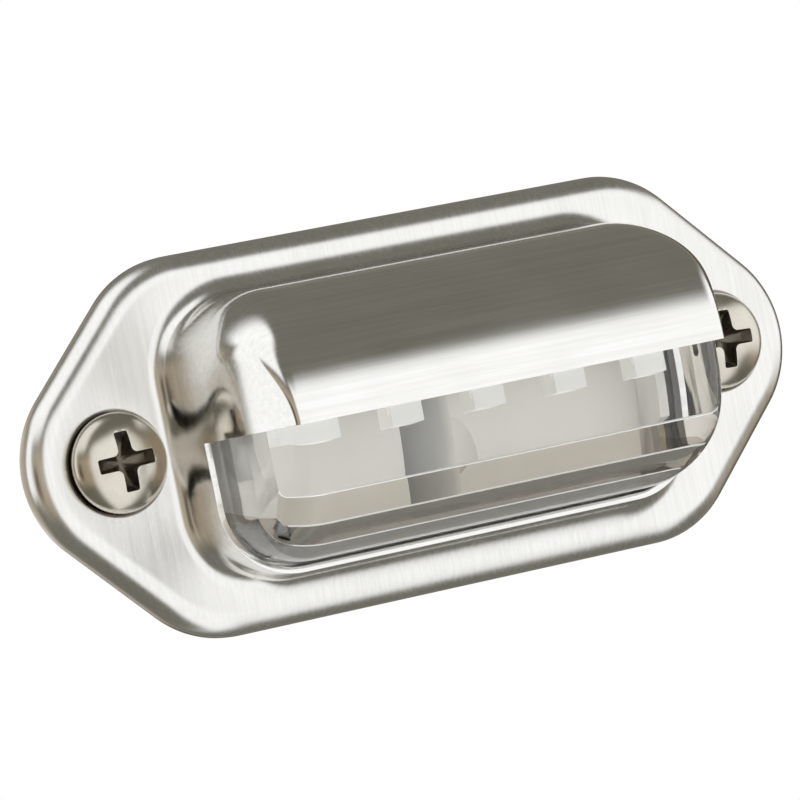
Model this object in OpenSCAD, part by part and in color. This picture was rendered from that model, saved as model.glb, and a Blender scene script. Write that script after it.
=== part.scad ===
/* [Flange] */
// Length of the flange over its rounded tips
flange_l = 80; // [60:0.5:120]
// Height of the flange over its long sides
flange_h = 35.6; // [30:0.1:50]
// Height of the flat face above the mounting plane
flange_t = 3; // [2:0.1:5]
// Thickness of the stainless sheet
sheet = 0.6; // [0.4:0.1:1]
// Slope of the slanted sides against the long axis, in degrees
side_slope = 46; // [30:1:60]
// Radius of the two tips
tip_r = 10; // [6:0.5:14]
// Radius of the four other corners
corner_r = 10.5; // [6:0.5:14]
// Outer radius of the bend at the turned edge
bend_r = 2.1; // [1:0.1:3]

/* [Hood] */
// Length of the hood at its foot
hood_l = 49.8; // [40:0.1:56]
// Height of the hood at its foot
hood_h = 26.6; // [20:0.1:30]
// Reach of the hood from the mounting plane
hood_out = 22.4; // [18:0.1:30]
// Corner radius of the hood at its foot
hood_corner_r = 7.2; // [4:0.1:10]
// Radius of the concave fillet around the foot
foot_r = 2.2; // [1:0.1:3]
// Radius at which the ends and walls bow inwards
wall_r = 42; // [30:1:80]
// Radius of the hood's round front
barrel_r = 13.05; // [10:0.05:16]
// Height of the lip over the centre line
lip_z = 0.15; // [-1:0.05:2]
// Height of the window's lower rim above the mounting plane
rim_d = 7.8; // [6:0.1:12]

/* [Screws] */
// Distance between the two screws
screw_pitch = 63.5; // [50:0.5:100]
// Diameter of the screw holes in the flange
screw_hole = 5.2; // [4:0.1:7]
// Diameter of the thread
thread_d = 4.8; // [3:0.1:6]
// Diameter of the plain neck under the head
neck_d = 4.6; // [3:0.1:6]
// Length of the screw behind the mounting plane
thread_out = 16; // [8:1:30]
// Diameter of the pan head
head_d = 9.5; // [7:0.1:12]
// Height of the pan head
head_t = 2.7; // [2:0.1:4]
// Width over the arms of the cross recess
cross_l = 5.8; // [3:0.1:7]
// Width of one arm of the cross recess
cross_w = 1.3; // [0.8:0.1:2]
// Depth of the cross recess
cross_depth = 1.9; // [1:0.1:2.2]
// Turn of the left and right cross, in degrees
cross_turn = [2, -2]; // [-45:1:45]

/* [Lens] */
// Gap between the sheet and the lens
lens_gap = 0.25; // [0.1:0.05:0.5]
// Height of the lens's back edge above the mounting plane
lens_back = 4.2; // [3:0.1:5]
// Length of the hollow in the lens
hollow_l = 42.4; // [30:0.1:46]
// Height of the hollow at its open back
hollow_h = 20.8; // [14:0.1:22]
// Height of the hollow's flat front above the mounting plane
hollow_front = 16; // [12:0.1:19]
// Height across the hollow's flat front
front_h = 12.6; // [8:0.1:16]
// Radius of the hollow's long corners
hollow_r = 2; // [1:0.1:4]

/* [Board and diodes] */
// Distance from one diode to the next
led_pitch = 8.5; // [5:0.1:12]
// Diode body along, out and down
led_size = [3.5, 2.8, 1.9]; // [1:0.1:6]
// Distance of the diodes from the mounting plane
led_out = 13.4; // [8:0.1:16]
// Diameter of the diode's lit face
led_face = 2.4; // [1:0.1:3]
// Length of the board
board_l = 41.2; // [30:0.1:44]
// Back and front edge of the board above the mounting plane
board_d = [6.5, 15.8]; // [5:0.1:18]
// Underside of the board over the centre line
board_z = 0.5; // [-2:0.1:3]
// Thickness of the board
board_t = 1; // [0.6:0.1:1.6]
// Resistor body along, across and up
resistor_size = [3.2, 1.6, 0.6]; // [0.5:0.1:4]

/* [Base and gasket] */
// Thickness of the gasket
gasket_t = 1; // [0.5:0.1:3]
// Length and height of the base's shoulder
shoulder_size = [57.2, 30.4]; // [20:0.1:60]
// Corner radius of the base's shoulder
shoulder_r = 9; // [4:0.1:12]
// Length and height of the pocket in the back
pocket_size = [39, 17.4]; // [10:0.1:42]
// Corner radius of the pocket
pocket_r = 2.5; // [1:0.1:5]
// Thickness of the panel behind the lens
panel_t = 1.2; // [0.8:0.1:2]
// Height of the panel's front above the mounting plane
panel_front = 5.8; // [5:0.1:6.4]
// Diameter of the wire outlet
outlet_d = 5; // [3:0.1:7]
// Height of the wire outlet over the centre line
outlet_z = -3.6; // [-5:0.1:5]
// Thickness of each board guide
guide_t = 1; // [0.6:0.1:2]
// Reach of each board guide from the panel
guide_out = 4.2; // [2:0.1:8]

/* [Hidden] */
$fn = 64;
bend_fn = 28;
eps = 0.01;
seam = 0.02;
flat_d = flange_t - sheet;
foot_top = flange_t + foot_r;
hood_x = hood_l / 2;
hood_z = hood_h / 2;
arc_x = hood_x - hood_corner_r;
arc_z = hood_z - hood_corner_r;
barrel_d = hood_out - barrel_r;
barrel_start = barrel_d + 1.65;
lens_inset = sheet + lens_gap;
side_turn = 90 - side_slope;
tip_x = flange_l / 2 - tip_r;
side_reach = tip_x * cos(side_turn) + tip_r;
corner_z = flange_h / 2 - corner_r;
corner_x = (side_reach - corner_r - corner_z * sin(side_turn)) / cos(side_turn);
flange_arcs = [
    [tip_x, 0, tip_r, -side_turn, side_turn],
    [corner_x, corner_z, corner_r, side_turn, 90],
    [-corner_x, corner_z, corner_r, 90, 180 - side_turn],
    [-tip_x, 0, tip_r, 180 - side_turn, 180 + side_turn],
    [-corner_x, -corner_z, corner_r, 180 + side_turn, 270],
    [corner_x, -corner_z, corner_r, 270, 360 - side_turn]
];
hood_arcs = rounded_arcs(hood_l, hood_h, hood_corner_r);
board_h = board_d[1] - board_d[0];
slot_gap = 0.05;
led_recess = 0.5;

// Centre, radius, first and last angle of each corner arc of a rounded rectangle
function rounded_arcs(l, h, r) = [
    [l / 2 - r, h / 2 - r, r, 0, 90],
    [r - l / 2, h / 2 - r, r, 90, 180],
    [r - l / 2, r - h / 2, r, 180, 270],
    [l / 2 - r, r - h / 2, r, 270, 360]
];

// Point on a corner arc, moved inwards by inset
function arc_point(arc, angle, inset) = [
    arc[0] + (arc[2] - inset) * cos(angle),
    arc[1] + (arc[2] - inset) * sin(angle)
];

// Turns a shape drawn in X and Y with its height along Z so that the height runs out from the wall
module from_wall(d = 0) {
    translate([0, -d, 0])
        rotate([90, 0, 0])
            children();
}

// Flat outline through the corner arcs; the straight sides stand a seam inside the arcs
module outline(arcs, inset, seam) {
    polygon([for (arc = arcs) for (k = [3, 4]) arc_point(arc, arc[k], inset + seam)]);
    for (arc = arcs)
        translate([arc[0], arc[1]])
            circle(r = arc[2] - inset);
}

module plate(arcs, inset, low, high, seam = 0) {
    from_wall(low)
        linear_extrude(high - low)
            outline(arcs, inset, seam);
}

// Carries a section around the four corners of the hood and along the sides between them
module swept(arcs) {
    count = len(arcs);
    for (i = [0 : count - 1]) {
        arc = arcs[i];
        next = arcs[(i + 1) % count];
        start = arc_point(arc, arc[4], 0);
        run = norm(arc_point(next, next[3], 0) - start);
        from_wall()
            translate([arc[0], arc[1], 0])
                rotate([0, 0, arc[3]])
                    rotate_extrude(angle = arc[4] - arc[3])
                        translate([arc[2], 0])
                            children();
        from_wall()
            translate([start[0], start[1], 0])
                rotate([0, 0, arc[4]])
                    rotate([90, 0, 0])
                        mirror([0, 0, 1])
                            linear_extrude(run)
                                children();
    }
}

// Half section of a plate with its upper edge rounded
module rounded_half(reach, low, high, r) {
    translate([0, low])
        square([reach, high - r - low]);
    translate([0, low])
        square([reach - r, high - low]);
    translate([reach - r, high - r])
        intersection() {
            circle(r = r, $fn = bend_fn);
            square(r);
        }
}

// Flange as a full block; the same block, smaller, hollows it out from behind
module flange_block(inset, low) {
    count = len(flange_arcs);
    high = flange_t - inset;
    r = bend_r - inset;
    for (i = [0 : count - 1]) {
        arc = flange_arcs[i];
        next = flange_arcs[(i + 1) % count];
        run = norm(arc_point(next, next[3], 0) - arc_point(arc, arc[4], 0));
        from_wall()
            translate([arc[0], arc[1], 0]) {
                rotate_extrude()
                    rounded_half(arc[2] - inset, low, high, r);
                rotate([0, 0, arc[4]])
                    rotate([90, 0, 0])
                        mirror([0, 0, 1])
                            linear_extrude(run)
                                rounded_half(arc[2] - inset - seam, low, high, r);
            }
    }
    from_wall(low)
        linear_extrude(high - low)
            polygon([for (arc = flange_arcs) for (k = [3, 4]) arc_point(arc, arc[k], inset + bend_r + 1)]);
}

// Concave sheet at the foot of the hood, measured outwards from the hood's wall
module foot_section() {
    translate([foot_r, foot_top])
        difference() {
            intersection() {
                circle(r = foot_r + sheet, $fn = bend_fn);
                translate([-foot_r - sheet, -foot_r - sheet])
                    square(foot_r + sheet);
            }
            circle(r = foot_r, $fn = bend_fn);
        }
}

// Half section of a bowed wall, with its reach along X and the height from the wall along Y
module bowed_wall(inset, low) {
    intersection() {
        translate([hood_corner_r - wall_r, foot_top])
            circle(r = wall_r - inset, $fn = 120);
        translate([0, low])
            square([hood_corner_r + 1, hood_out - low]);
    }
}

module bowed_block(inset, low) {
    for (arc = hood_arcs)
        from_wall()
            translate([arc[0], arc[1], 0])
                rotate([0, 0, arc[3]])
                    rotate_extrude(angle = 90)
                        bowed_wall(inset, low);
    for (side = [0, 1])
        mirror([side, 0, 0])
            translate([arc_x, 0, -arc_z])
                linear_extrude(2 * arc_z)
                    mirror([0, 1])
                        bowed_wall(inset, low);
    for (side = [0, 1])
        mirror([0, 0, side])
            translate([-arc_x, 0, arc_z])
                rotate([0, 90, 0])
                    linear_extrude(2 * arc_x)
                        rotate(180)
                            bowed_wall(inset, low);
    translate([-arc_x, -hood_out, -arc_z])
        cube([2 * arc_x, hood_out - low, 2 * arc_z]);
}

// Half barrel along X that gives the hood its round front
module barrel(inset, low) {
    translate([-hood_x, 0, 0])
        rotate([90, 0, 90])
            linear_extrude(hood_l)
                rotate(90)
                    intersection() {
                        union() {
                            translate([0, barrel_d])
                                circle(r = barrel_r - inset, $fn = 96);
                            translate([-hood_z, 0])
                                square([hood_h, barrel_start]);
                        }
                        translate([-hood_h, low])
                            square([2 * hood_h, hood_out]);
                    }
}

module hood_form(inset, low) {
    intersection() {
        bowed_block(inset, low);
        barrel(inset, low);
    }
}

module window_cut() {
    translate([-hood_l, -hood_out - 5, -hood_h])
        cube([2 * hood_l, hood_out + 5 - rim_d, hood_h + lip_z]);
}

module screw_bore(d, low, high) {
    for (x = [-screw_pitch / 2, screw_pitch / 2])
        translate([x, 0, 0])
            from_wall(low)
                cylinder(d = d, h = high - low);
}

module housing() {
    color([0.8, 0.8, 0.8]) {
        difference() {
            flange_block(0, 0);
            flange_block(sheet, -1);
            plate(hood_arcs, -foot_r, flat_d - 1, flange_t + 1);
            screw_bore(screw_hole, flat_d - 1, flange_t + 1);
        }
        swept(hood_arcs)
            foot_section();
        difference() {
            hood_form(0, foot_top);
            hood_form(sheet, foot_top - 1);
            window_cut();
        }
    }
}

// Hollow of the lens: flat front, two slanted faces above and below, and an open back
module hollow() {
    half = hollow_h / 2;
    intersection() {
        translate([-hollow_l / 2, 0, 0])
            rotate([90, 0, 90])
                linear_extrude(hollow_l)
                    polygon([
                        [-lens_back + 1, -half],
                        [-9, -half],
                        [-12, 0.4 - half],
                        [-14.8, 1.7 - half],
                        [-hollow_front, -front_h / 2],
                        [-hollow_front, front_h / 2],
                        [-14.8, half - 1.7],
                        [-12, half - 0.4],
                        [-9, half],
                        [-lens_back + 1, half]
                    ]);
        plate(rounded_arcs(hollow_l, hollow_h, hollow_r), 0, lens_back - 1, hollow_front + 1);
    }
}

module lens() {
    color([0.92, 0.95, 0.97, 0.4])
        difference() {
            hood_form(lens_inset, lens_back);
            hollow();
        }
}

module led(x) {
    body_x = led_size[0] - 0.3;
    color([0.95, 0.94, 0.88])
        translate([x, -led_out, board_z - led_size[2]])
            difference() {
                union() {
                    translate([-body_x / 2, -led_size[1] / 2, 0])
                        cube([body_x, led_size[1], led_size[2] - 0.1]);
                    translate([-led_size[0] / 2, -1.1, led_size[2] - 1])
                        cube([led_size[0], 2.2, 1]);
                }
                translate([0, 0, -eps])
                    cylinder(d1 = led_face, d2 = led_face - 0.5, h = led_recess + eps);
            }
}

module led_1() {
    led(-2 * led_pitch);
}

module led_2() {
    led(-led_pitch);
}

module led_3() {
    led(0);
}

module led_4() {
    led(led_pitch);
}

module led_5() {
    led(2 * led_pitch);
}

module board() {
    color([0.9, 0.9, 0.86])
        difference() {
            translate([-board_l / 2, -board_d[1], board_z])
                cube([board_l, board_h, board_t]);
            for (x = [-1.3, 1.3])
                translate([x, -board_d[0] - 1.4, board_z - 1])
                    cylinder(d = 1, h = board_t + 2, $fn = 24);
        }
}

module resistor(x) {
    cap = 0.5;
    translate([x, -board_d[0] - 3.2, board_z + board_t]) {
        color([0.15, 0.15, 0.16])
            translate([cap - resistor_size[0] / 2, -resistor_size[1] / 2, 0.05])
                cube([resistor_size[0] - 2 * cap, resistor_size[1], resistor_size[2] - 0.05]);
        color([0.8, 0.8, 0.8])
            for (side = [0, 1])
                mirror([side, 0, 0])
                    translate([-resistor_size[0] / 2, -resistor_size[1] / 2, 0])
                        cube([cap, resistor_size[1], resistor_size[2] - 0.05]);
    }
}

module resistor_1() {
    resistor(-led_pitch / 2);
}

module resistor_2() {
    resistor(led_pitch / 2);
}

module base() {
    play = 0.2;
    guide_x = board_l / 2 - 0.7;
    color([0.82, 0.82, 0.8])
        difference() {
            union() {
                plate(rounded_arcs(shoulder_size[0], shoulder_size[1], shoulder_r), 0, gasket_t, flat_d);
                plate(hood_arcs, lens_inset, flat_d, lens_back);
                plate(rounded_arcs(hollow_l, hollow_h, hollow_r), play, lens_back, panel_front);
                for (side = [0, 1])
                    mirror([side, 0, 0])
                        translate([guide_x, -panel_front - guide_out, -4])
                            cube([guide_t, guide_out, 8]);
            }
            difference() {
                plate(rounded_arcs(pocket_size[0], pocket_size[1], pocket_r), 0, 0, panel_front - panel_t);
                translate([0, 0, outlet_z])
                    from_wall(gasket_t)
                        cylinder(d = outlet_d + 3, h = panel_front);
            }
            translate([0, 0, outlet_z])
                from_wall(0)
                    cylinder(d = outlet_d, h = panel_front + 1);
            translate([-board_l, -board_d[1], board_z])
                cube([2 * board_l, board_h, board_t + slot_gap]);
        }
}

module gasket() {
    color([0.12, 0.12, 0.12])
        difference() {
            plate(flange_arcs, sheet + 0.2, 0, gasket_t, seam);
            plate(rounded_arcs(pocket_size[0], pocket_size[1], pocket_r), 0, -1, gasket_t + 1);
            screw_bore(screw_hole, -1, gasket_t + 1);
        }
}

// Half section of the pan head: radius along X, height over the flange along Y
module head_section() {
    dome_r = 14;
    rim_r = 1.5;
    intersection() {
        square([head_d / 2, head_t]);
        translate([0, head_t - dome_r])
            circle(r = dome_r, $fn = 120);
        union() {
            square([head_d / 2 - rim_r, head_t]);
            translate([0, 0.3])
                square([head_d / 2, head_t - rim_r - 0.55]);
            square([head_d / 2 - 0.25, 1]);
            translate([head_d / 2 - rim_r, head_t - rim_r - 0.25])
                circle(r = rim_r);
        }
    }
}

module screw(x, turn) {
    point = 3;
    color([0.78, 0.78, 0.76])
        translate([x, 0, 0])
            from_wall() {
                difference() {
                    translate([0, 0, flange_t])
                        rotate_extrude()
                            head_section();
                    rotate([0, 0, turn])
                        for (quarter = [0, 90])
                            rotate([0, 0, quarter])
                                rotate([90, 0, 0])
                                    translate([0, flange_t + head_t, -cross_w / 2])
                                        linear_extrude(cross_w)
                                            polygon([
                                                [-cross_l / 2, 1],
                                                [-cross_l / 2, -0.2],
                                                [-0.6, -cross_depth],
                                                [0.6, -cross_depth],
                                                [cross_l / 2, -0.2],
                                                [cross_l / 2, 1]
                                            ]);
                }
                translate([0, 0, -0.3])
                    cylinder(d = neck_d, h = flange_t + 0.3);
                translate([0, 0, point - thread_out])
                    cylinder(d = thread_d, h = thread_out - point - 0.3);
                translate([0, 0, -thread_out])
                    cylinder(d1 = 0.8, d2 = thread_d, h = point);
            }
}

module screw_left() {
    screw(-screw_pitch / 2, cross_turn[0]);
}

module screw_right() {
    screw(screw_pitch / 2, cross_turn[1]);
}

housing();
lens();
led_1();
led_2();
led_3();
led_4();
led_5();
board();
resistor_1();
resistor_2();
base();
gasket();
screw_left();
screw_right();
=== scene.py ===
"""Looks of the marker lamp: stainless housing, clear lens, diodes, screws and a white studio."""

import math

import bmesh
import bpy
from mathutils import Matrix, Vector


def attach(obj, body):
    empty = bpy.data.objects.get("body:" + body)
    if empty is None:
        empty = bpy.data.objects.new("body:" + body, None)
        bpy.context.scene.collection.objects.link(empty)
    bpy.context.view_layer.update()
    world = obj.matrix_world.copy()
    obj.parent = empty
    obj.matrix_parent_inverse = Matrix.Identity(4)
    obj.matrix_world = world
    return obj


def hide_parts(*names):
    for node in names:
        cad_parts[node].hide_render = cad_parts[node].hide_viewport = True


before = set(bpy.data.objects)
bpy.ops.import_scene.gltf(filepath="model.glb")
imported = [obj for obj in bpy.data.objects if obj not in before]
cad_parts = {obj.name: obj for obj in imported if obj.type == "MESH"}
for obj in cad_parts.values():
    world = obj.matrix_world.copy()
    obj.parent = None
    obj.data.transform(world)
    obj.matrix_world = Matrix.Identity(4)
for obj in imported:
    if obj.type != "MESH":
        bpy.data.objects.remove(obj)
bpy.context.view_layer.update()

MM = 0.001

# Measures in millimetres: x runs along the lamp, z up and d out from the mounting plane
SHEET = 0.6
FLANGE_T = 3.0
BEND_R = 2.1
SCREW_X = 31.75
SCREW_HOLE_R = 2.6
CUT_BEVEL = 0.07

# Ridge pressed round the flange's flat beyond PRESS_X; on the bend it runs out by PRESS_TURN,
# in radians
PRESS_H = 0.08
PRESS_INSET = 0.3
PRESS_X = 21.0
PRESS_FADE = 4.0
PRESS_TURN = 1.4

# Fillet at the hood's foot; beyond FLARE_X the hood's ends spread further, up to FLARE_D high
FOOT_R = 2.2
FOOT_TOP = FLANGE_T + FOOT_R
FLARE_D = 7.0
FLARE_X = 19.5
FLARE_FADE = 5.0

# Narrow flat border beside the fillets, which keeps the flange's shading level
GUARD = 0.05

# Hood and lens: the corner radius shrinks to a nose radius at the front, and the ends bow
# inwards by the cube of the height over the foot, divided by BOW
HOOD_X = 24.9
HOOD_Z = 13.3
HOOD_OUT = 22.4
CORNER_R = 7.2
MIN_CORNER_R = 0.4
NOSE_R = 0.8
LENS_NOSE_R = 3.2
BOW = 1725.0
BARREL_R = 13.05
BARREL_D = HOOD_OUT - BARREL_R
LIP_Z = 0.15
RIM_D = 7.8
LENS_INSET = 0.85
LENS_BACK = 4.25

# Arcs of the flange's outline: centre x and z, radius, first and last angle
FLANGE_ARCS = [
    (30.0, 0.0, 10.0, -44.0, 44.0),
    (22.255, 7.3, 10.5, 44.0, 90.0),
    (-22.255, 7.3, 10.5, 90.0, 136.0),
    (-30.0, 0.0, 10.0, 136.0, 224.0),
    (-22.255, -7.3, 10.5, 224.0, 270.0),
    (22.255, -7.3, 10.5, 270.0, 316.0),
]

# Steps of a hood: its wall, barrel, flat, corner and end
HOOD_STEPS = (10, 80, 30, 16, 18)
LENS_STEPS = (12, 64, 24, 12, 16)
FILLET_STEPS = 14
ROUND_STEPS = 48

# Spacing of the points on the flange's outline: degrees on its arcs, millimetres on its sides
ARC_STEP = 3.0
SIDE_STEP = 1.2

# Tolerances in metres, and the distance within which a shell's vertices are joined
TOLERANCE = 1e-6
PLANE_TOLERANCE = 1e-7
WELD = 2e-6


def smooth(t):
    """0 to 1 with level ends."""
    t = min(max(t, 0.0), 1.0)
    return t * t * (3 - 2 * t)


def mix(a, b, t):
    return a + (b - a) * t


def at(x, z, d):
    """A point of the lamp in metres from its place along, up and out, in millimetres."""
    return Vector((x * MM, -d * MM, z * MM))


# ---------------------------------------------------------------- objects


def add_object(name, mesh, *materials):
    obj = bpy.data.objects.new(name, mesh)
    bpy.context.scene.collection.objects.link(obj)
    for material in materials:
        obj.data.materials.append(material)
    return obj


def mesh_from(bm, name):
    mesh = bpy.data.meshes.new(name)
    bm.to_mesh(mesh)
    bm.free()
    return mesh


def closed_mesh(bm, name):
    bmesh.ops.recalc_face_normals(bm, faces=bm.faces)
    return mesh_from(bm, name)


def apply_modifiers(obj):
    graph = bpy.context.evaluated_depsgraph_get()
    done = bpy.data.meshes.new_from_object(obj.evaluated_get(graph))
    old = obj.data
    obj.modifiers.clear()
    obj.data = done
    bpy.data.meshes.remove(old)


def remove_object(obj):
    mesh = obj.data
    bpy.data.objects.remove(obj)
    bpy.data.meshes.remove(mesh)


def shade(obj, angle):
    """Smooth shading with edges sharper than angle, in degrees, kept sharp."""
    mesh = obj.data
    mesh.polygons.foreach_set("use_smooth", [True] * len(mesh.polygons))
    mesh.set_sharp_from_angle(angle=math.radians(angle))


def cut(obj, cutter, operation="DIFFERENCE"):
    modifier = obj.modifiers.new("cut", "BOOLEAN")
    modifier.operation = operation
    modifier.solver = "EXACT"
    modifier.object = cutter
    apply_modifiers(obj)
    remove_object(cutter)


def bevel(obj, width, angle, material=-1):
    """Rounds the edges sharper than angle, in degrees."""
    modifier = obj.modifiers.new("bevel", "BEVEL")
    modifier.width = width * MM
    modifier.segments = 2
    modifier.limit_method = "ANGLE"
    modifier.angle_limit = math.radians(angle)
    modifier.material = material
    apply_modifiers(obj)


def strip(bm, first, second, closed=False):
    """Faces between two rows of vertices of the same length."""
    count = len(first)
    for k in range(count if closed else count - 1):
        n = (k + 1) % count
        corners = []
        for v in (first[k], first[n], second[n], second[k]):
            if v not in corners:
                corners.append(v)
        if len(corners) > 2:
            bm.faces.new(corners)


def loop_edges(bm, ring):
    edges = []
    for k, v in enumerate(ring):
        w = ring[(k + 1) % len(ring)]
        edges.append(bm.edges.get((v, w)) or bm.edges.new((v, w)))
    return edges


def lathe(bm, profile, place, steps):
    """Turns pairs of radius and height; place(radius, angle, height) gives each point."""
    last = None
    for r, h in profile:
        if r == 0.0:
            ring = [bm.verts.new(place(0, 0, h))] * steps
        else:
            ring = [bm.verts.new(place(r, math.tau * k / steps, h)) for k in range(steps)]
        if last:
            strip(bm, last, ring, closed=True)
        last = ring


# ---------------------------------------------------------------- hood surface


def end_x(d, inset):
    """Half length of the hood at d."""
    over = max(d - FOOT_TOP, 0.0)
    return HOOD_X - inset - over**3 / BOW


def stations(inset, low, nose, wall_steps, barrel_steps):
    """Profile of the hood's upper half from foot to front: z, d, normal in z and d, corner."""
    out = []
    for k in range(wall_steps):
        d = mix(low, BARREL_D, k / wall_steps)
        lean = smooth((d - FOOT_TOP) / (BARREL_D - FOOT_TOP))
        z = mix(HOOD_Z, BARREL_R, lean) - inset
        out.append((z, d, 1.0, 0.0, max(CORNER_R - inset, MIN_CORNER_R)))
    for k in range(barrel_steps + 1):
        turn = math.pi / 2 * k / barrel_steps
        n_z, n_d = math.cos(turn), math.sin(turn)
        r = BARREL_R - inset
        corner = mix(CORNER_R, nose, smooth(math.degrees(turn) / 90))
        out.append((r * n_z, BARREL_D + r * n_d, n_z, n_d, max(corner - inset, MIN_CORNER_R)))
    return out


def across(station, inset, flat_steps, arc_steps, end_steps):
    """Half row over one station, from the middle to the end.

    Gives x, z, d and the row's own normal, along x and away from the middle of the barrel.
    """
    z, d, n_z, n_d, r = station

    def end_below(sink):
        return end_x(d - sink * n_d, inset)

    # The corner's arc is moved until it meets the leaning end smoothly
    probe = 0.01
    touch = r
    for _ in range(5):
        slope = (end_below(touch + probe) - end_below(touch)) / probe
        wall = end_below(touch) - slope * touch
        last = math.atan2(1.0, slope)
        touch = r - r * math.cos(last)
    centre = wall + slope * r - r * math.hypot(1.0, slope)
    row = []
    for k in range(flat_steps):
        row.append((centre * k / flat_steps, z, d, 0.0, 1.0))
    for k in range(arc_steps + 1):
        a = last * k / arc_steps
        n_x, n_out = math.sin(a), math.cos(a)
        sink = r - r * n_out
        row.append((centre + r * n_x, z - sink * n_z, d - sink * n_d, n_x, n_out))
    # The end runs down to the lamp's middle height, or on the barrel as far as its axis
    full = z if n_d == 0.0 else BARREL_R - inset
    for k in range(1, end_steps + 1):
        sink = mix(touch, full, k / end_steps)
        row.append((end_below(sink), z - sink * n_z, d - sink * n_d, 1.0, 0.0))
    return row


def hood_half(bm, inset, low, nose, steps, side):
    """Upper (side 1) or lower (side -1) half of a hood; gives its first row and its normals."""
    rows, normals = [], []
    for station in stations(inset, low, nose, *steps[:2]):
        half = across(station, inset, *steps[2:])
        full = [(-x, z, d, -n_x, n_out) for x, z, d, n_x, n_out in half[:0:-1]] + half
        rows.append([bm.verts.new(at(x, side * z, d)) for x, z, d, _, _ in full])
        if not normals:
            normals = [(n_x, side * n_out) for _, _, _, n_x, n_out in full]
    for first, second in zip(rows, rows[1:]):
        strip(bm, first, second)
    return rows[0], normals


# ---------------------------------------------------------------- housing


def flange_ring():
    """Points and normals around the flange's outline, evenly spaced on each arc and side."""
    points = []
    for index, (x, z, r, first, last) in enumerate(FLANGE_ARCS):
        count = round((last - first) / ARC_STEP)
        for k in range(count + 1):
            a = math.radians(mix(first, last, k / count))
            n_x, n_z = math.cos(a), math.sin(a)
            points.append((x + r * n_x, z + r * n_z, n_x, n_z))
        next_x, next_z, next_r, _, _ = FLANGE_ARCS[(index + 1) % len(FLANGE_ARCS)]
        from_x, from_z, n_x, n_z = points[-1]
        to_x, to_z = next_x + next_r * n_x, next_z + next_r * n_z
        count = round(math.hypot(to_x - from_x, to_z - from_z) / SIDE_STEP)
        for k in range(1, count):
            share = k / count
            points.append((mix(from_x, to_x, share), mix(from_z, to_z, share), n_x, n_z))
    return points


def flare(d):
    """How far the hood's ends spread at d beyond the plain fillet of the foot."""
    wide = FOOT_R * (1 - math.sqrt(min((d - FLANGE_T) / FLARE_D, 1.0))) ** 2
    arc = FOOT_R - math.sqrt(FOOT_R**2 - max(FOOT_TOP - d, 0.0) ** 2)
    return wide - arc


def hood_and_foot(bm):
    """Hood and the fillet at its foot; gives the ring where the flange's flat begins."""
    top, top_n = hood_half(bm, 0.0, FOOT_TOP, NOSE_R, HOOD_STEPS, 1)
    low, low_n = hood_half(bm, 0.0, FOOT_TOP, NOSE_R, HOOD_STEPS, -1)
    ring = top[:-1] + low[:0:-1]
    normals = top_n[:-1] + low_n[:0:-1]
    foot = [(v.co.x / MM, v.co.z / MM, n_x, n_z) for v, (n_x, n_z) in zip(ring, normals)]

    def foot_ring(out, d):
        return [bm.verts.new(at(x + n_x * out, z + n_z * out, d)) for x, z, n_x, n_z in foot]

    for k in range(1, FILLET_STEPS + 1):
        a = math.pi / 2 * k / FILLET_STEPS
        new = foot_ring(FOOT_R - FOOT_R * math.cos(a), FOOT_TOP - FOOT_R * math.sin(a))
        strip(bm, ring, new, closed=True)
        ring = new
    for v in bm.verts:
        d = max(-v.co.y / MM, FLANGE_T)
        spread = flare(d) * smooth((abs(v.co.x) / MM - FLARE_X) / FLARE_FADE)
        v.co.x += math.copysign(spread * MM, v.co.x)
    inner = foot_ring(FOOT_R + GUARD, FLANGE_T)
    strip(bm, ring, inner, closed=True)
    return inner


def pressed(x):
    """Share of the pressed ridge's height at x."""
    return smooth((abs(x) - PRESS_X) / PRESS_FADE)


def turned_edge(bm):
    """Pressed ridge and turned edge of the flange; gives the ring where its flat ends."""
    outline = flange_ring()

    def inset_vert(point, inset, d):
        x, z, n_x, n_z = point
        return bm.verts.new(at(x - n_x * inset, z - n_z * inset, d))

    outer = [
        inset_vert(point, BEND_R + GUARD + PRESS_INSET * pressed(point[0]), FLANGE_T)
        for point in outline
    ]
    ring = outer
    for k in range(FILLET_STEPS + 1):
        a = math.pi / 2 * k / FILLET_STEPS
        inset = BEND_R - BEND_R * math.sin(a)
        d = FLANGE_T - BEND_R + BEND_R * math.cos(a)
        new = [inset_vert(point, inset, d) for point in outline]
        for v in new:
            v.co.y -= PRESS_H * pressed(v.co.x / MM) * smooth(PRESS_TURN - a) * MM
        strip(bm, ring, new, closed=True)
        ring = new
    strip(bm, ring, [inset_vert(point, 0.0, 0.0) for point in outline], closed=True)
    return outer


def fill_flat(bm, inner, outer):
    """Flat of the flange between the foot and the turned edge, around the screw holes."""
    edges = loop_edges(bm, inner) + loop_edges(bm, outer)
    for x in (-SCREW_X, SCREW_X):
        circle = []
        for k in range(ROUND_STEPS):
            a = math.tau * k / ROUND_STEPS
            u, v = SCREW_HOLE_R * math.cos(a), SCREW_HOLE_R * math.sin(a)
            circle.append(bm.verts.new(at(x + u, v, FLANGE_T)))
        edges += loop_edges(bm, circle)
    outward = (0, -1, 0)
    bmesh.ops.triangle_fill(
        bm, use_beauty=True, use_dissolve=False, edges=edges, normal=outward
    )


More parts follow.
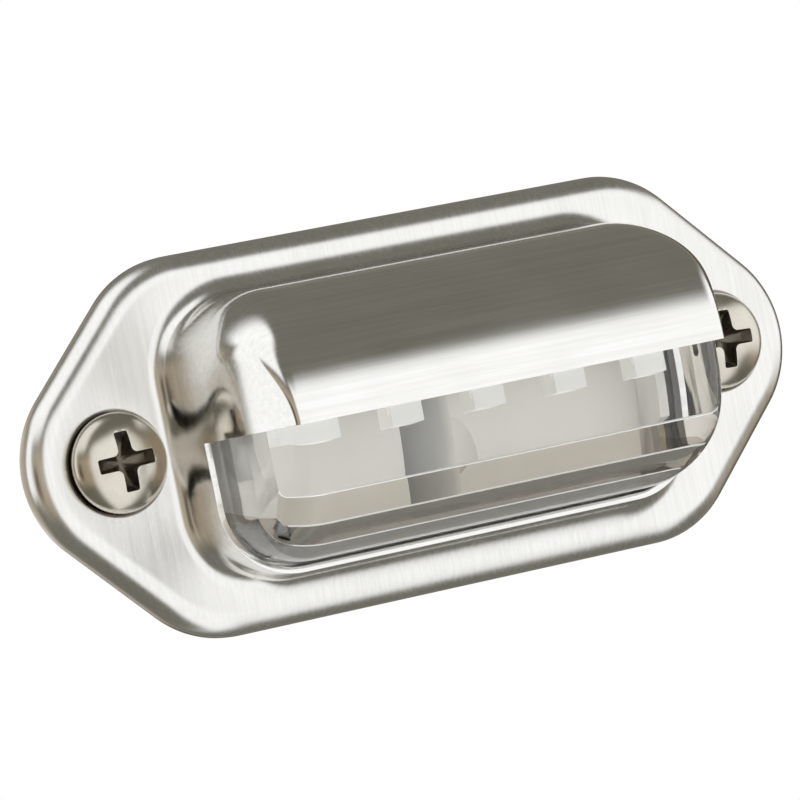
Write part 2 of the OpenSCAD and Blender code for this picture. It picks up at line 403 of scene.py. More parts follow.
def open_window(bm):
    """Takes away the hood below its lip and in front of its rim."""
    for point, normal in ((at(0, 0, RIM_D), (0, 1, 0)), (at(0, LIP_Z, 0), (0, 0, 1))):
        geom = bm.verts[:] + bm.edges[:] + bm.faces[:]
        bmesh.ops.bisect_plane(
            bm, geom=geom, dist=PLANE_TOLERANCE, plane_co=point, plane_no=normal
        )
    opened = []
    for face in bm.faces:
        centre = face.calc_center_median()
        if -centre.y > RIM_D * MM and centre.z < LIP_Z * MM:
            opened.append(face)
    bmesh.ops.delete(bm, geom=opened, context="FACES")


def housing_shell():
    """Outer face of the housing as one smooth open sheet, with its window and screw holes."""
    bm = bmesh.new()
    inner = hood_and_foot(bm)
    outer = turned_edge(bm)
    fill_flat(bm, inner, outer)
    bmesh.ops.remove_doubles(bm, verts=bm.verts, dist=WELD)
    open_window(bm)
    bmesh.ops.recalc_face_normals(bm, faces=bm.faces)
    flat = [f for f in bm.faces if abs(f.calc_center_median().y + FLANGE_T * MM) < TOLERANCE]
    if sum(f.normal.y * f.calc_area() for f in flat) > 0:
        bmesh.ops.reverse_faces(bm, faces=bm.faces)
    return mesh_from(bm, "housing_sheet")


def make_housing(material):
    obj = add_object("housing_sheet", housing_shell(), material)
    sheet = obj.modifiers.new("sheet", "SOLIDIFY")
    sheet.thickness = SHEET * MM
    sheet.offset = -1
    sheet.use_even_offset = True
    sheet.use_quality_normals = True
    apply_modifiers(obj)
    bevel(obj, CUT_BEVEL, angle=50)
    shade(obj, angle=50)
    return obj


# ---------------------------------------------------------------- lens

# Half section of the lens's hollow, d and z; its second point only gives the way to the first rib
HOLLOW = [(3.2, 10.4), (9.0, 10.4), (12.0, 9.6), (14.6, 8.2), (16.0, 5.75)]
RIB_H = 0.1
RIB_W = 0.1
END_WALL = 1.4

# Corners of the hollow: their radius shrinks to a share of itself towards the front
HOLLOW_R = 4.4
HOLLOW_STEPS = 8
SHRINK = 0.2
SHRINK_D = 9.0
SHRINK_RUN = 6.0
# Painted reflection of the housing: faces at each end of a corner's section take the brown of the
# sides
REFLECTION_CORNER_FACES = 6

# Places of the lens's materials, and those of the hollow's sides from the back to the front
# Brown on the facets and sides is a painted reflection of the housing
CLEAR, RIBS, FACETS, SIDES = range(4)
SIDE_LOOKS = [CLEAR, SIDES, FACETS]


def hollow_section():
    """Half section of the hollow, d and z, with a fine rib at each long corner, and its looks."""
    points, looks = [HOLLOW[0]], []
    followers = HOLLOW[3:] + [(HOLLOW[-1][0], 0.0)]
    for before, here, after, look in zip(HOLLOW[1:], HOLLOW[2:], followers, SIDE_LOOKS):
        ways = []
        for d, z in (before, after):
            length = math.hypot(d - here[0], z - here[1])
            ways.append(((d - here[0]) / length, (z - here[1]) / length))
        out = Vector(ways[0]) + Vector(ways[1])
        out = -out.normalized() * RIB_H
        points.append((here[0] + ways[0][0] * RIB_W, here[1] + ways[0][1] * RIB_W))
        points.append((here[0] + out.x, here[1] + out.y))
        points.append((here[0] + ways[1][0] * RIB_W, here[1] + ways[1][1] * RIB_W))
        # Painted highlight: each rib takes the opaque white material, which draws a bright line
        looks += [look, RIBS, RIBS]
    return points, looks


def lens_body():
    """Outside of the lens, closed at its back."""
    bm = bmesh.new()
    top, _ = hood_half(bm, LENS_INSET, LENS_BACK, LENS_NOSE_R, LENS_STEPS, 1)
    low, _ = hood_half(bm, LENS_INSET, LENS_BACK, LENS_NOSE_R, LENS_STEPS, -1)
    bm.faces.new(top + low[::-1])
    bmesh.ops.remove_doubles(bm, verts=bm.verts, dist=WELD)
    return closed_mesh(bm, "lens")


def lens_hollow():
    """The hollow: a flat front, slanted faces above and below and rounded corners."""
    half, looks = hollow_section()
    section = half + [(d, -z) for d, z in reversed(half)]
    looks = looks + [CLEAR] + looks[::-1] + [CLEAR]
    corner_looks = list(looks)
    for k in range(REFLECTION_CORNER_FACES):
        corner_looks[k] = corner_looks[-2 - k] = SIDES

    arc = []
    for k in range(HOLLOW_STEPS + 1):
        a = math.pi / 2 * k / HOLLOW_STEPS
        arc.append((HOLLOW_R * math.sin(a) - HOLLOW_R, HOLLOW_R - HOLLOW_R * math.cos(a)))
    slices = [(-1, *step) for step in reversed(arc)] + [(1, *step) for step in arc]

    bm = bmesh.new()
    rows = []
    for side, back, sink in slices:
        row = []
        for d, z in section:
            share = mix(1.0, SHRINK, smooth((d - SHRINK_D) / SHRINK_RUN))
            x = side * (end_x(d, LENS_INSET + END_WALL) + back * share)
            row.append(bm.verts.new(at(x, z * (1 - sink * share / HOLLOW[0][1]), d)))
        rows.append(row)
    for k, (first, second) in enumerate(zip(rows, rows[1:])):
        count = len(bm.faces)
        strip(bm, first, second, closed=True)
        bm.faces.ensure_lookup_table()
        for face, look in zip(bm.faces[count:], looks if k == HOLLOW_STEPS else corner_looks):
            face.material_index = look
    bm.faces.new(rows[0])
    bm.faces.new(rows[-1][::-1])
    return closed_mesh(bm, "hollow")


def make_lens(*looks):
    """Lens from its materials in the order CLEAR, RIBS, FACETS, SIDES."""
    obj = add_object("lens_clear", lens_body(), *looks)
    cut(obj, add_object("hollow", lens_hollow(), *looks))
    shade(obj, angle=32)
    return obj


# ---------------------------------------------------------------- base

WELL_X = -2.5
WELL_R = 4.5
WELL_DEPTH = 0.9
WELL_LOW, WELL_HIGH = -9.4, 2.5
PANEL_D = 5.8
OUTLET_Z = -3.6
PLUG_R = 2.6
PLUG_D = 4.3
PLUG_SUNK = 0.01


def copy_of(node, name, *materials):
    """A CAD node's mesh as a new object, with the corners that the file splits joined again."""
    bm = bmesh.new()
    bm.from_mesh(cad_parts[node].data)
    bmesh.ops.remove_doubles(bm, verts=bm.verts, dist=TOLERANCE)
    bmesh.ops.dissolve_limit(
        bm, angle_limit=math.radians(0.5), verts=bm.verts, edges=bm.edges
    )
    for face in bm.faces:
        face.material_index = 0
    mesh = mesh_from(bm, name)
    mesh.materials.clear()
    return add_object(name, mesh, *materials)


def plug_mesh():
    """Plug that closes the outlet just behind the panel's face."""

    def place(r, a, h):
        return at(r * math.cos(a), OUTLET_Z + r * math.sin(a), h)

    bm = bmesh.new()
    front = PANEL_D - PLUG_SUNK
    profile = [(0.0, front), (PLUG_R, front), (PLUG_R, PLUG_D), (0.0, PLUG_D)]
    lathe(bm, profile, place, ROUND_STEPS)
    return closed_mesh(bm, "plug")


def well_mesh():
    """Upright round bar that cuts the shallow well; its faces take the material painted with shade.
    """
    bm = bmesh.new()
    middle = PANEL_D + WELL_R - WELL_DEPTH
    rows = []
    for z in (WELL_LOW, WELL_HIGH):
        row = []
        for k in range(ROUND_STEPS):
            a = math.tau * k / ROUND_STEPS
            x, d = WELL_X + WELL_R * math.cos(a), middle + WELL_R * math.sin(a)
            row.append(bm.verts.new(at(x, z, d)))
        rows.append(row)
    strip(bm, *rows, closed=True)
    bm.faces.new(rows[0])
    bm.faces.new(rows[1][::-1])
    for face in bm.faces:
        face.material_index = 1
    return closed_mesh(bm, "well")


def make_base(plastic, well_shade):
    """Base with its outlet closed at the front and a shallow well, painted with shade, in its
    panel.
    """
    obj = copy_of("base", "base_moulded", plastic, well_shade)
    cut(obj, add_object("plug", plug_mesh(), plastic, well_shade), "UNION")
    cut(obj, add_object("well", well_mesh(), plastic, well_shade))
    shade(obj, angle=30)
    flat = obj.modifiers.new("flat", "WEIGHTED_NORMAL")
    flat.keep_sharp = True
    apply_modifiers(obj)
    return obj


# ---------------------------------------------------------------- screws

HEAD_R = 4.65
HEAD_T = 2.7
HEAD_POWER = 2.7
HEAD_STEPS = 24
HEAD_SIDES = 96
HEAD_BEVEL = 0.1
RIM_H = 0.5
# Steps of the head's underside: in from its edge, down from its rim
UNDERCUT = [(0.1, 0.15), (0.35, 0.2), (0.5, RIM_H)]
# Painted shade: the head takes the dark material from this far under its rim
SHADE_DROP = 0.1
CROSS_REACH = 2.9
CROSS_HALF = 0.68
CROSS_DEPTH = 1.95
CROSS_TIP = 0.25
CROSS_FILLET = 0.55
CROSS_CHAMFER = 0.12
CROSS_STEPS = 6
# Recess down to its floor: height over the head, shares of reach, half width and fillet
CROSS_LEVELS = [
    (0.3, 1.04, 1.05, 1.0),
    (0.0, 1.0, 1.0, 1.0),
    (-CROSS_DEPTH * 0.75, 0.78, 0.82, 0.9),
    (-CROSS_DEPTH, 0.45, 0.55, 0.6),
]
NECK_R = 2.3
THREAD_ROOT = 1.75
THREAD_CREST = 2.4
THREAD_PITCH = 1.6
THREAD_OUT = 16.0
THREAD_START = -0.3
THREAD_FADE = 1.2
THREAD_STEPS = 40
POINT_RUN = 3.2
POINT_SHARE = 0.35
# One pitch of the thread: share of the pitch, share of the rise to the crest
RIDGE = [(0.0, 0.0), (0.28, 0.0), (0.46, 0.75), (0.54, 1.0), (0.62, 0.75), (0.8, 0.0)]


def head_profile():
    """Radius and height over the flange, from the middle of the dome to the seat."""
    points = []
    for k in range(HEAD_STEPS + 1):
        a = math.pi / 2 * k / HEAD_STEPS
        r = HEAD_R * math.sin(a) ** (2 / HEAD_POWER)
        points.append((r, RIM_H + (HEAD_T - RIM_H) * math.cos(a)))
    points += [(HEAD_R - inset, RIM_H - drop) for inset, drop in UNDERCUT]
    return points + [(NECK_R, 0.0)]


def cross_outline(reach, half, fillet):
    """Cross with rounded inner corners, as points around it."""
    arm = [
        (reach, -half + CROSS_CHAMFER),
        (reach, half - CROSS_CHAMFER),
        (reach - CROSS_CHAMFER, half),
    ]
    for k in range(CROSS_STEPS + 1):
        a = math.pi / 2 * k / CROSS_STEPS
        c = half + fillet
        arm.append((c - fillet * math.sin(a), c - fillet * math.cos(a)))
    arm.append((half, reach - CROSS_CHAMFER))
    points = []
    for turn in range(4):
        for x, z in arm:
            for _ in range(turn):
                x, z = -z, x
            points.append((x, z))
    return points


def screw_mesh(x):
    """Pan head and plain neck."""

    def place(r, a, h):
        return at(x + r * math.cos(a), r * math.sin(a), FLANGE_T + h)

    bm = bmesh.new()
    neck_end = THREAD_START - FLANGE_T
    lathe(bm, head_profile() + [(NECK_R, neck_end), (0.0, neck_end)], place, HEAD_SIDES)
    return closed_mesh(bm, "head")


def recess_mesh(x, turn):
    """Cutter for the cross recess, turned by turn degrees."""
    bm = bmesh.new()
    c, s = math.cos(math.radians(turn)), math.sin(math.radians(turn))
    top = FLANGE_T + HEAD_T
    rings = []
    for h, reach, half, fillet in CROSS_LEVELS:
        outline = cross_outline(CROSS_REACH * reach, CROSS_HALF * half, CROSS_FILLET * fillet)
        ring = [bm.verts.new(at(x + u * c - v * s, u * s + v * c, top + h)) for u, v in outline]
        if rings:
            strip(bm, rings[-1], ring, closed=True)
        rings.append(ring)
    bm.faces.new(rings[0])
    tip = bm.verts.new(at(x, 0, top - CROSS_DEPTH - CROSS_TIP))
    floor = rings[-1]
    for k, v in enumerate(floor):
        bm.faces.new((v, floor[(k + 1) % len(floor)], tip))
    return closed_mesh(bm, "recess")


def thread_mesh(x):
    """Tapping thread as one helical ridge that fades out at both ends, with a blunt point."""
    bm = bmesh.new()
    length = THREAD_OUT + THREAD_START
    rings = []
    for turn in range(-1, int(length / THREAD_PITCH) + 2):
        for share, rise in RIDGE:
            ring = []
            for k in range(THREAD_STEPS):
                h = (turn + share + k / THREAD_STEPS) * THREAD_PITCH
                h = min(max(h, 0.0), length)
                left = length - h
                taper = min(1.0, POINT_SHARE + (1 - POINT_SHARE) * smooth(left / POINT_RUN))
                grow = min(1.0, h / THREAD_FADE) * min(1.0, left / THREAD_FADE)
                r = (THREAD_ROOT + (THREAD_CREST - THREAD_ROOT) * rise * grow) * taper
                a = math.tau * k / THREAD_STEPS
                point = at(x + r * math.cos(a), r * math.sin(a), THREAD_START - h)
                ring.append(bm.verts.new(point))
            rings.append(ring)
    for first, second in zip(rings, rings[1:]):
        for k in range(THREAD_STEPS - 1):
            bm.faces.new((first[k], first[k + 1], second[k + 1], second[k]))
    # The last vertex of each ring meets the first one of the ring a pitch further on
    shift = len(RIDGE)
    for i in range(len(rings) - shift - 1):
        bm.faces.new((rings[i][-1], rings[i + shift][0], rings[i + shift + 1][0], rings[i + 1][-1]))
    bmesh.ops.remove_doubles(bm, verts=bm.verts, dist=TOLERANCE)
    tip = [v for v in bm.verts if v.co.y > (THREAD_OUT - 0.001) * MM]
    bmesh.ops.contextual_create(bm, geom=tip)
    return closed_mesh(bm, "thread")


def make_screw(name, x, turn, metal, dark):
    """Screw of bright metal, with painted shade in its recess, under its head and at its neck."""
    obj = add_object(name, screw_mesh(x), metal, dark)
    cutter = add_object("recess", recess_mesh(x, turn), metal, dark)
    # Painted shade: the recess's faces and those under the head take the dark material
    for face in cutter.data.polygons:
        face.material_index = 1
    underside = FLANGE_T + RIM_H - SHADE_DROP
    for face in obj.data.polygons:
        if -face.center.y < underside * MM:
            face.material_index = 1
    cut(obj, cutter)
    bevel(obj, HEAD_BEVEL, angle=40, material=0)
    shade(obj, angle=40)
    thread = add_object("thread", thread_mesh(x), metal)
    shade(thread, angle=50)
    bm = bmesh.new()
    bm.from_mesh(obj.data)
    bm.from_mesh(thread.data)
    bm.to_mesh(obj.data)
    bm.free()
    remove_object(thread)
    return obj


# ---------------------------------------------------------------- material nodes


def new_material(name):
    material = bpy.data.materials.new(name)
    material.use_nodes = True
    tree = material.node_tree
    tree.nodes.clear()
    out = tree.nodes.new("ShaderNodeOutputMaterial")
    shader = tree.nodes.new("ShaderNodeBsdfPrincipled")
    tree.links.new(shader.outputs[0], out.inputs[0])
    return material, tree, shader


def coordinates(tree, scale):
    coords = tree.nodes.new("ShaderNodeTexCoord")
    mapping = tree.nodes.new("ShaderNodeMapping")
    mapping.inputs["Scale"].default_value = scale
    tree.links.new(coords.outputs["Object"], mapping.inputs["Vector"])
    return mapping.outputs[0]


def place_in_lamp(tree):
    """Outputs X, Y and Z of a point's place in the lamp's frame, in metres."""
    split = tree.nodes.new("ShaderNodeSeparateXYZ")
    tree.links.new(coordinates(tree, (1, 1, 1)), split.inputs[0])
    return split.outputs


def noise(tree, scale, detail, roughness, stretch=(1, 1, 1)):
    node = tree.nodes.new("ShaderNodeTexNoise")
    node.inputs["Scale"].default_value = scale
    node.inputs["Detail"].default_value = detail
    node.inputs["Roughness"].default_value = roughness
    tree.links.new(coordinates(tree, stretch), node.inputs["Vector"])
    return node.outputs["Fac"]


def ranged(tree, value, low, high, from_low=0.3, from_high=0.7):
    node = tree.nodes.new("ShaderNodeMapRange")
    node.inputs["From Min"].default_value = from_low
    node.inputs["From Max"].default_value = from_high
    node.inputs["To Min"].default_value = low
    node.inputs["To Max"].default_value = high
    tree.links.new(value, node.inputs["Value"])
    return node.outputs[0]


def smooth_range(tree, value, low, high):
    """0 at low, 1 at high, with level ends."""
    node = tree.nodes.new("ShaderNodeMapRange")
    node.interpolation_type = "SMOOTHSTEP"
    node.inputs["From Min"].default_value = low
    node.inputs["From Max"].default_value = high
    tree.links.new(value, node.inputs["Value"])
    return node.outputs[0]


def ramp(tree, value, *stops):
    node = tree.nodes.new("ShaderNodeValToRGB")
    elements = node.color_ramp.elements
    elements[0].position, elements[0].color = stops[0][0], (*stops[0][1], 1)
    elements[1].position, elements[1].color = stops[-1][0], (*stops[-1][1], 1)
    for position, colour in stops[1:-1]:
        elements.new(position).color = (*colour, 1)
    tree.links.new(value, node.inputs[0])
    return node.outputs[0]


def bump(tree, height, distance, strength):
    node = tree.nodes.new("ShaderNodeBump")
    node.inputs["Distance"].default_value = distance * MM
    node.inputs["Strength"].default_value = strength
    tree.links.new(height, node.inputs["Height"])
    return node.outputs[0]


def blended(tree, factor, first, second):
    node = tree.nodes.new("ShaderNodeMix")
    tree.links.new(factor, node.inputs["Factor"])
    tree.links.new(first, node.inputs["A"])
    tree.links.new(second, node.inputs["B"])
    return node.outputs["Result"]


def mixed(tree, factor, first, second):
    """Mix of two colours, each a tuple or an output."""
    node = tree.nodes.new("ShaderNodeMix")
    node.data_type = "RGBA"
    tree.links.new(factor, node.inputs["Factor"])
    for socket, colour in ((node.inputs["A"], first), (node.inputs["B"], second)):
        if isinstance(colour, tuple):
            socket.default_value = (*colour, 1)
        else:
            tree.links.new(colour, socket)
    return node.outputs["Result"]


def math_node(tree, operation, *values, clamp=False):
    node = tree.nodes.new("ShaderNodeMath")
    node.operation = operation
    node.use_clamp = clamp
    for socket, value in zip(node.inputs, values):
        if isinstance(value, (int, float)):
            socket.default_value = value
        else:
            tree.links.new(value, socket)
    return node.outputs[0]


def chained(tree, operation, first, *others):
    """One operation over any number of outputs."""
    whole = first
    for other in others:
        whole = math_node(tree, operation, whole, other)
    return whole


def squared(tree, value):
    return math_node(tree, "MULTIPLY", value, value)


# ---------------------------------------------------------------- materials

STEEL_DARK = (0.745, 0.735, 0.705)
STEEL_LIGHT = (0.835, 0.825, 0.8)
# Painted shade: colour of the dark ring round each screw head, where the head meets the sheet, and
# its span beyond the head's rim
SCREW_SHADE = (0.1, 0.075, 0.05)
SCREW_SHADE_START, SCREW_SHADE_END = 0.22, 0.42
# Places and colours of the painted shade in the well, from its left side to its right
WELL_LEFT, WELL_RIGHT = WELL_X - 2.4, WELL_X + 2.6
WELL_SHADE_TONES = [
    (0.0, (0.25, 0.25, 0.24)),
    (0.6, (0.4, 0.4, 0.385)),
    (0.85, (0.55, 0.55, 0.525)),
    (1.0, (0.75, 0.745, 0.7)),
]


def steel_material():
    """Bright stainless sheet with soft drawing marks and a ring of painted shade round each screw
    head.

    Faint lines run up and down the satin flange, and along the brighter hood.
    """
    material, tree, shader = new_material("steel_sheet")
    place = place_in_lamp(tree)
    brushed = noise(tree, 1.0, 4.0, 0.6, (2600, 2600, 70))
    drawn = noise(tree, 1.0, 4.0, 0.6, (45, 1900, 1900))
    cloud = noise(tree, 140.0, 3.0, 0.5)
    lines = blended(tree, ranged(tree, place["Y"], 0, 1, -0.006, -0.005), drawn, brushed)
    line_tone = ranged(tree, lines, 0, 0.6, 0, 1)
    cloud_tone = ranged(tree, cloud, 0, 0.4, 0, 1)
    streaks = math_node(tree, "ADD", line_tone, cloud_tone)
    bright = ramp(tree, streaks, (0.38, STEEL_DARK), (0.62, STEEL_LIGHT))

    # Painted shade: the sheet darkens in a ring just beyond each screw head's rim
    along = math_node(tree, "ABSOLUTE", place["X"])
    along = squared(tree, math_node(tree, "SUBTRACT", along, SCREW_X * MM))
    away = math_node(tree, "SQRT", math_node(tree, "ADD", along, squared(tree, place["Z"])))
    ring = smooth_range(tree, away, (HEAD_R + SCREW_SHADE_END) * MM, (HEAD_R + SCREW_SHADE_START) * MM)
    screw_shade = math_node(tree, "MULTIPLY", ring, ranged(tree, cloud, 0.75, 1.0))
    tree.links.new(mixed(tree, screw_shade, bright, SCREW_SHADE), shader.inputs["Base Color"])

    satin = ranged(tree, place["Y"], 0.12, 0.25, -0.0042, -0.0032)
    line_rough = ranged(tree, lines, -0.02, 0.03)
    cloud_rough = ranged(tree, cloud, -0.015, 0.015)
    rough = chained(tree, "ADD", satin, line_rough, cloud_rough)
    shader.inputs["Metallic"].default_value = 1.0
    tree.links.new(rough, shader.inputs["Roughness"])
    tree.links.new(bump(tree, lines, 0.003, 0.17), shader.inputs["Normal"])
    return material


def screw_material():
    material, tree, shader = new_material("screw_metal")
    cloud = noise(tree, 300.0, 4.0, 0.6)
    grain = noise(tree, 5000.0, 2.0, 0.5)
    colour = ramp(tree, cloud, (0.3, (0.56, 0.52, 0.45)), (0.7, (0.7, 0.66, 0.58)))
    tree.links.new(colour, shader.inputs["Base Color"])
    shader.inputs["Metallic"].default_value = 1.0
    tree.links.new(ranged(tree, cloud, 0.2, 0.28), shader.inputs["Roughness"])
    tree.links.new(bump(tree, grain, 0.004, 0.4), shader.inputs["Normal"])
    return material


# Painted shade: dark metal for the screw's cross recess and the underside of its head
def recess_shade_material():
    material, tree, shader = new_material("screw_recess_painted_shade")
    cloud = noise(tree, 900.0, 4.0, 0.6)
    colour = ramp(tree, cloud, (0.3, (0.1, 0.08, 0.06)), (0.75, (0.3, 0.27, 0.22)))
    tree.links.new(colour, shader.inputs["Base Color"])
    shader.inputs["Metallic"].default_value = 1.0
    tree.links.new(ranged(tree, cloud, 0.35, 0.55), shader.inputs["Roughness"])
    return material


def lens_material(name, dark, light):
    """Clear moulded polycarbonate with faint flow marks; in brown it carries a painted reflection
    of the housing.
    """
    material, tree, shader = new_material(name)
    flow = noise(tree, 120.0, 2.0, 0.5, (1, 1, 3))
    colour = ramp(tree, flow, (0.3, dark), (0.7, light))
    tree.links.new(colour, shader.inputs["Base Color"])
    shader.inputs["Transmission Weight"].default_value = 1.0
    shader.inputs["IOR"].default_value = 1.33
    tree.links.new(ranged(tree, flow, 0.0, 0.02), shader.inputs["Roughness"])
    tree.links.new(bump(tree, flow, 0.02, 0.3), shader.inputs["Normal"])
    return material


def plastic_material(name, dark, light, rough, grain_scale, grain):
    material, tree, shader = new_material(name)
    cloud = noise(tree, 150.0, 3.0, 0.5)
    tree.links.new(ramp(tree, cloud, (0.3, dark), (0.7, light)), shader.inputs["Base Color"])
    fine = noise(tree, grain_scale, 3.0, 0.6)
    tree.links.new(ranged(tree, fine, rough - 0.06, rough + 0.06), shader.inputs["Roughness"])
    tree.links.new(bump(tree, fine, grain, 0.5), shader.inputs["Normal"])
    return material


def well_shade_material():
    """Base plastic painted grey with shade in the well, darkest at its left side."""
    material, tree, shader = new_material("base_well_painted_shade")
    place = place_in_lamp(tree)
    cloud = noise(tree, 160.0, 3.0, 0.5)
    side = ranged(tree, place["X"], 0, 1, WELL_LEFT * MM, WELL_RIGHT * MM)
    side = math_node(tree, "ADD", side, ranged(tree, cloud, -0.08, 0.08))
    tree.links.new(ramp(tree, side, *WELL_SHADE_TONES), shader.inputs["Base Color"])
    tree.links.new(ranged(tree, cloud, 0.35, 0.5), shader.inputs["Roughness"])
    tree.links.new(bump(tree, cloud, 0.02, 0.5), shader.inputs["Normal"])
    return material


# ---------------------------------------------------------------- studio

STUDIO_WHITE = (1.19, 1.2, 1.21)
STUDIO_GREY = (0.19, 0.186, 0.158)
STUDIO_BROWN = (0.5, 0.425, 0.33)
STUDIO_DARK = (0.11, 0.095, 0.07)
CAMERA_WHITE = (1, 1, 1)
# Even light on matt surfaces, and on those seen through the lens
AMBIENT = 0.95
AMBIENT_INSIDE = 1.5
FLOOR_Z = -80.0
# Half width of the floor, and where it fades to white for the camera, in metres
FLOOR_HALF = 6.0
FLOOR_FADE = (0.15, 0.45)


def studio_room(tree):
    """Colour of the studio that the lamp mirrors, by direction: azimuth from +Y to +X, height.

    It is white low in front, with grey above, to the left and low behind, two soft boxes
    in the grey, and brown and dark bands near the horizon.
    """
    coords = tree.nodes.new("ShaderNodeTexCoord")
    split = tree.nodes.new("ShaderNodeSeparateXYZ")
    tree.links.new(coords.outputs["Generated"], split.inputs[0])
    x, y, z = split.outputs

    def past(azimuth, low, high):
        """Mask from 0 to 1 as the sine of the turn past the azimuth goes from low to high."""
        a = math.radians(azimuth)
        along_x = math_node(tree, "MULTIPLY", x, math.cos(a))
        along_y = math_node(tree, "MULTIPLY", y, math.sin(a))
        return smooth_range(tree, math_node(tree, "SUBTRACT", along_x, along_y), low, high)

    def height(low, high):
        return smooth_range(tree, z, low, high)

    def all_of(*masks):
        return chained(tree, "MULTIPLY", *masks)

    def any_of(*masks):
        return chained(tree, "MAXIMUM", *masks)

    # The grey above comes down lower on the left and behind than in front
    edge = math_node(tree, "MULTIPLY_ADD", past(60, -0.3, 0.6), 0.36, 0.17)
    up = smooth_range(tree, math_node(tree, "SUBTRACT", z, edge), -0.12, 0.12)
    left = all_of(past(210, -0.12, 0.16), past(355, 0.15, -0.1))
    behind = all_of(past(-30, 0.05, 0.3), height(-0.1, -0.4))

    # Soft boxes: a tall one behind on the left, and one high on the left
    tall_box = all_of(
        past(277, -0.03, 0.03),
        past(311, 0.05, -0.05),
        height(0.9, 0.7),
        height(-0.3, -0.16),
    )
    overhead_box = all_of(
        past(240, -0.3, -0.06),
        past(314, 0.42, 0.0),
        smooth_range(tree, x, 0.16, -0.06),
        height(0.4, 0.6),
    )
    boxes = any_of(tall_box, overhead_box)
    grey = math_node(tree, "SUBTRACT", any_of(up, left, behind), boxes, clamp=True)

    # Brown replaces the grey near the horizon, and dark covers two parts of it
    warm = any_of(all_of(past(200, 0.0, 0.3), past(285, 0.1, -0.1)), past(308, 0.0, 0.4))
    warm = all_of(warm, height(0.5, 0.2), height(-0.6, -0.3))
    dark_left = all_of(
        past(246, 0.0, 0.07),
        past(268, 0.02, -0.05),
        height(0.2, 0.1),
        height(-0.35, -0.2),
    )
    dark_behind = all_of(
        past(5, 0.0, 0.12),
        past(80, 0.0, -0.12),
        height(0.45, 0.25),
        height(-0.5, -0.3),
    )

    room = mixed(tree, grey, STUDIO_WHITE, mixed(tree, warm, STUDIO_GREY, STUDIO_BROWN))
    return mixed(tree, any_of(dark_left, dark_behind), room, STUDIO_DARK)


def make_world():
    """The mirrored studio, an even light on matt surfaces and plain white for the camera."""
    world = bpy.data.worlds.new("studio")
    bpy.context.scene.world = world
    world.use_nodes = True
    tree = world.node_tree
    tree.nodes.clear()
    room = studio_room(tree)
    path = tree.nodes.new("ShaderNodeLightPath")
    scattered = math_node(tree, "GREATER_THAN", path.outputs["Diffuse Depth"], 0.5)
    inside = math_node(tree, "GREATER_THAN", path.outputs["Transmission Depth"], 0.5)
    ambient = mixed(tree, inside, (AMBIENT,) * 3, (AMBIENT_INSIDE,) * 3)
    shown = mixed(tree, scattered, room, ambient)
    shown = mixed(tree, path.outputs["Is Camera Ray"], shown, CAMERA_WHITE)
    background = tree.nodes.new("ShaderNodeBackground")
    tree.links.new(shown, background.inputs["Color"])
    out = tree.nodes.new("ShaderNodeOutputWorld")
    tree.links.new(background.outputs[0], out.inputs[0])


def floor_material():
    """Pale paper that takes the shadow, glows white far out and is not mirrored by the lamp."""
    material = bpy.data.materials.new("floor_paper")
    material.use_nodes = True
    tree = material.node_tree
    tree.nodes.clear()

    def mix_shader(factor, first, second):
        node = tree.nodes.new("ShaderNodeMixShader")
        for socket, output in zip(node.inputs, (factor, first, second)):
            tree.links.new(output, socket)
        return node.outputs[0]

    coords = tree.nodes.new("ShaderNodeTexCoord")
    length = tree.nodes.new("ShaderNodeVectorMath")
    length.operation = "LENGTH"
    tree.links.new(coords.outputs["Object"], length.inputs[0])
    far = smooth_range(tree, length.outputs["Value"], *FLOOR_FADE)
    path = tree.nodes.new("ShaderNodeLightPath").outputs
    seen_far = math_node(tree, "MULTIPLY", far, path["Is Camera Ray"])
    passed = math_node(tree, "MAXIMUM", path["Is Glossy Ray"], path["Is Transmission Ray"])
    paper = tree.nodes.new("ShaderNodeBsdfDiffuse")
    paper.inputs["Color"].default_value = (0.95, 0.95, 0.95, 1)
    glow = tree.nodes.new("ShaderNodeEmission")
    clear = tree.nodes.new("ShaderNodeBsdfTransparent")
    lit = mix_shader(seen_far, paper.outputs[0], glow.outputs[0])
    out = tree.nodes.new("ShaderNodeOutputMaterial")
    tree.links.new(mix_shader(passed, lit, clear.outputs[0]), out.inputs[0])
    return material


def make_floor():
    mesh = bpy.data.meshes.new("floor")
    signs = ((-1, -1), (1, -1), (1, 1), (-1, 1))
    corners = [(u * FLOOR_HALF, v * FLOOR_HALF, FLOOR_Z * MM) for u, v in signs]
    mesh.from_pydata(corners, [], [(0, 1, 2, 3)])
    material = floor_material()
    add_object("floor", mesh, material)


def make_light(name, place, size, power):
    """Round lamp aimed at the origin; it is not mirrored."""
    data = bpy.data.lights.new(name, "AREA")
    data.shape = "DISK"
    data.size = size
    data.energy = power
    obj = bpy.data.objects.new(name, data)
    obj.location = place
    obj.rotation_euler = (-Vector(place)).to_track_quat("-Z", "Y").to_euler()
    obj.visible_glossy = False
    bpy.context.scene.collection.objects.link(obj)


# Camera fitted to the photograph: distance and target in millimetres, angles in degrees
CAMERA_DISTANCE = 500.25
CAMERA_AZIMUTH = 25.883
CAMERA_ELEVATION = 0.081
CAMERA_ROLL = -11.473
CAMERA_TARGET = (-0.986, 0.0, 0.496)
CAMERA_LENS = 239.75


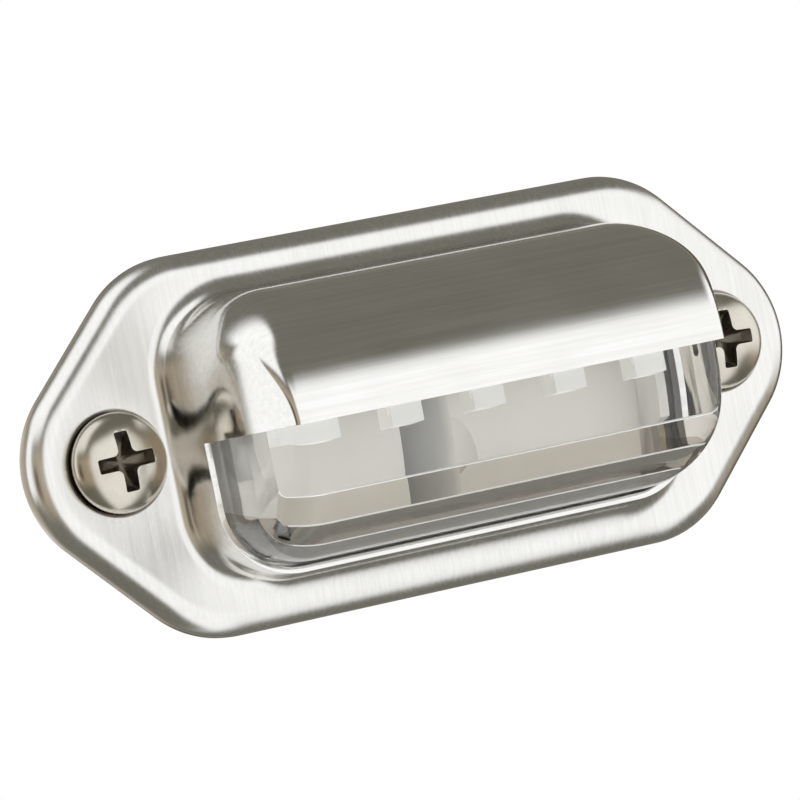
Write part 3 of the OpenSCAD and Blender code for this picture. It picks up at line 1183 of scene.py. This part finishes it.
def make_camera():
    az, el, roll = (math.radians(a) for a in (CAMERA_AZIMUTH, CAMERA_ELEVATION, CAMERA_ROLL))
    away = Vector((-math.sin(az) * math.cos(el), -math.cos(az) * math.cos(el), math.sin(el)))
    right = (-away).cross(Vector((0, 0, 1))).normalized()
    above = right.cross(-away)
    across_view = math.cos(roll) * right + math.sin(roll) * above
    up_view = -math.sin(roll) * right + math.cos(roll) * above
    matrix = Matrix((across_view, up_view, away)).transposed().to_4x4()
    matrix.translation = (Vector(CAMERA_TARGET) + CAMERA_DISTANCE * away) * MM
    data = bpy.data.cameras.new("camera")
    data.sensor_width = 36
    data.lens = CAMERA_LENS
    data.clip_start = 0.01
    data.clip_end = 50
    camera = bpy.data.objects.new("camera", data)
    camera.matrix_world = matrix
    bpy.context.scene.collection.objects.link(camera)
    bpy.context.scene.camera = camera


# ---------------------------------------------------------------- build


def finish_piece(piece, node):
    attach(piece, "root")
    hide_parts(node)


def dress(node, material):
    """Gives a CAD node that stays a better material."""
    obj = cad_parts[node]
    for slot in obj.material_slots:
        slot.link = "OBJECT"
        slot.material = material


def build_studio():
    make_camera()
    make_world()
    make_floor()
    make_light("key", (-0.5, -0.9, 1.1), size=0.8, power=3.0)
    bpy.context.scene.view_settings.view_transform = "Standard"


def build_screws():
    # The dark material is painted shade in the recesses and under the heads
    metal, dark = screw_material(), recess_shade_material()
    left = make_screw("screw_left_threaded", -SCREW_X, 2, metal, dark)
    finish_piece(left, "screw_left")
    right = make_screw("screw_right_threaded", SCREW_X, -2, metal, dark)
    finish_piece(right, "screw_right")


def build_lens():
    lens = make_lens(
        lens_material("lens_clear", (0.985, 0.99, 0.985), (1.0, 1.0, 1.0)),
        # Painted highlight: opaque white on the ribs, as bright lines along the hollow's corners
        plastic_material("lens_ribs_painted_highlight", (0.9, 0.9, 0.87), (0.97, 0.97, 0.94), 0.4, 1500.0, 0.004),
        # Painted reflection of the housing: brown on the facets and sides of the hollow
        lens_material("lens_facet_painted_reflection", (0.66, 0.6, 0.53), (0.7, 0.64, 0.57)),
        lens_material("lens_side_painted_reflection", (0.46, 0.4, 0.34), (0.52, 0.46, 0.4)),
    )
    finish_piece(lens, "lens")


def build_base():
    dark, light = (0.755, 0.745, 0.7), (0.8, 0.79, 0.745)
    plastic = plastic_material("base_plastic", dark, light, 0.45, 700.0, 0.01)
    # The well's material is painted shade, darkest at its left side
    finish_piece(make_base(plastic, well_shade_material()), "base")


def dress_inside():
    """Diodes, board, resistors and gasket keep their CAD meshes."""
    dark, light = (0.95, 0.945, 0.9), (0.98, 0.975, 0.94)
    diode = plastic_material("diode_white", dark, light, 0.4, 1500.0, 0.004)
    for number in range(1, 6):
        dress(f"led_{number}", diode)
    dark, light = (0.86, 0.87, 0.84), (0.9, 0.91, 0.88)
    dress("board", plastic_material("board_white", dark, light, 0.35, 1200.0, 0.004))
    dark, light = (0.03, 0.03, 0.035), (0.06, 0.06, 0.065)
    chip = plastic_material("resistor_body", dark, light, 0.4, 1500.0, 0.004)
    for number in (1, 2):
        dress(f"resistor_{number}", chip)
    dark, light = (0.03, 0.03, 0.03), (0.06, 0.06, 0.06)
    dress("gasket", plastic_material("foam_rubber", dark, light, 0.85, 1600.0, 0.06))


build_studio()
finish_piece(make_housing(steel_material()), "housing")
build_lens()
build_screws()
build_base()
dress_inside()
